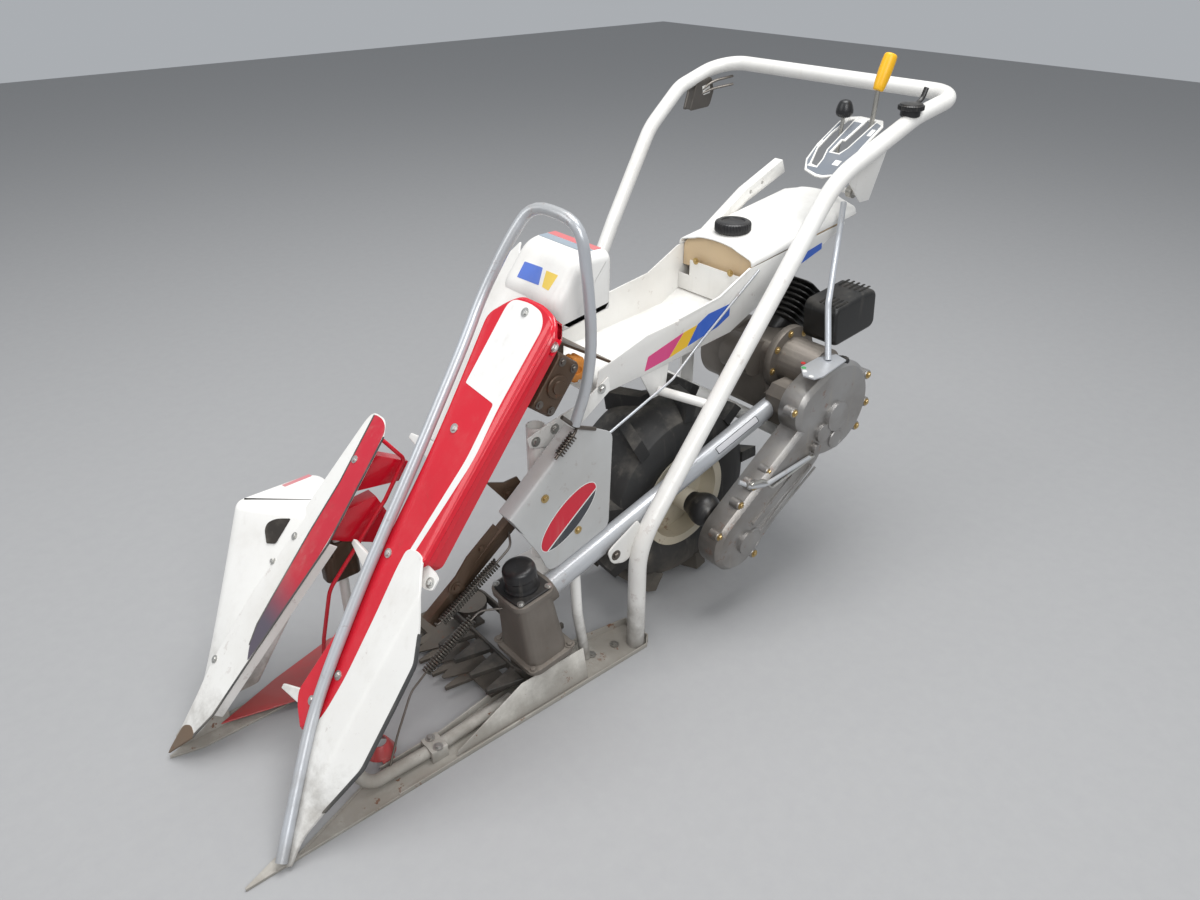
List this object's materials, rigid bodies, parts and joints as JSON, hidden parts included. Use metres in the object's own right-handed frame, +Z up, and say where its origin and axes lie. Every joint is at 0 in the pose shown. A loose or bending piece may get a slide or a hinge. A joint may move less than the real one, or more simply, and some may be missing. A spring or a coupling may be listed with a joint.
{
  "type": "walk-behind one-row reaper binder",
  "caption": "Walk-behind one-row reaper binder: leaning lifting case with fingers, row divider, knife, lugged belt, knotter, single lugged wheel, small engine and looped handle",
  "frame": {"origin": "on the ground at the middle of the machine's box, as it stands on its wheel and skids", "axes": "+X forward along the row, +Y to the machine's left, +Z up"},
  "size_m": [1.9808, 0.9377, 1.1235],
  "materials": {
    "steel": "bare steel with rust film",
    "black_plastic": "black plastic",
    "cast_metal": "oily raw casting",
    "white_paint": "gloss enamel, worn and dusty",
    "aluminium_fins": "finned casting, dusty",
    "white_plastic": "moulded, dusty",
    "silver_paint": "silver paint",
    "tan_plastic": "translucent tan tank",
    "grey_paint": "light grey enamel",
    "black_steel": "black heat paint",
    "brown_steel": "worn brown steel",
    "black_rubber": "worn rubber belt",
    "yellow_grip": "yellow grip",
    "red_paint": "gloss enamel, scuffed",
    "cream_paint": "cream rim paint",
    "orange_plastic": "orange plastic",
    "tyre": "muddy rubber"
  },
  "bodies": {
    "machine": {"belt_pulleys": "steel", "bevel_cap": "black_plastic", "bevel_gearbox": "cast_metal", "body_tray": "white_paint", "case_pan": "white_paint", "chain_case": "cast_metal", "chain_sprockets": "steel", "cross_tube": "white_paint", "cylinder": "aluminium_fins", "divider_cover": "white_plastic", "drive_tube": "silver_paint", "engine_block": "cast_metal", "finger_chain": "white_plastic", "front_tube": "white_paint", "fuel_tank": "tan_plastic", "gate_plate": "grey_paint", "gear_case": "cast_metal", "guide_pipe": "silver_paint", "hand_controls": "black_plastic", "handle_frame": "white_paint", "knife_bed": "steel", "knotter_cover": "white_plastic", "knotter_head": "cast_metal", "knotter_plate": "brown_steel", "left_skid": "white_paint", "lever_stand": "steel", "linkage": "silver_paint", "lug_belt": "black_rubber", "main_lever": "yellow_grip", "muffler": "black_steel", "nose_blade": "white_paint", "packer_arms": "brown_steel", "pipe_latch": "steel", "post_bracket": "white_paint", "red_covers": "red_paint", "red_deck": "red_paint", "red_guides": "red_paint", "right_divider": "white_paint", "right_gear": "brown_steel", "right_skid": "steel", "side_panel": "grey_paint", "skid_guard": "grey_paint", "skid_strut": "white_paint", "springs": "steel", "stays": "white_paint", "tank_bracket": "white_paint", "tank_cap": "black_plastic", "tank_cover": "white_plastic", "tension_wheel": "orange_plastic", "twine_bar": "white_paint", "upright_post": "white_paint"},
    "wheel": {"tyre": "tyre", "rim": "cream_paint", "hub": "black_steel"},
    "knife_bar": {"knife": "steel"}
  },
  "joints": [
    {"name": "wheel_spin", "type": "hinge", "parent": "machine", "child": "wheel", "pos_m": [-0.115, 0.203, 0.24], "axis": [0, 1, 0], "continuous": true},
    {"name": "knife_slide", "type": "slide", "parent": "machine", "child": "knife_bar", "axis": [0, 1, 0], "range_m": [-0.025, 0.025]}
  ]
}
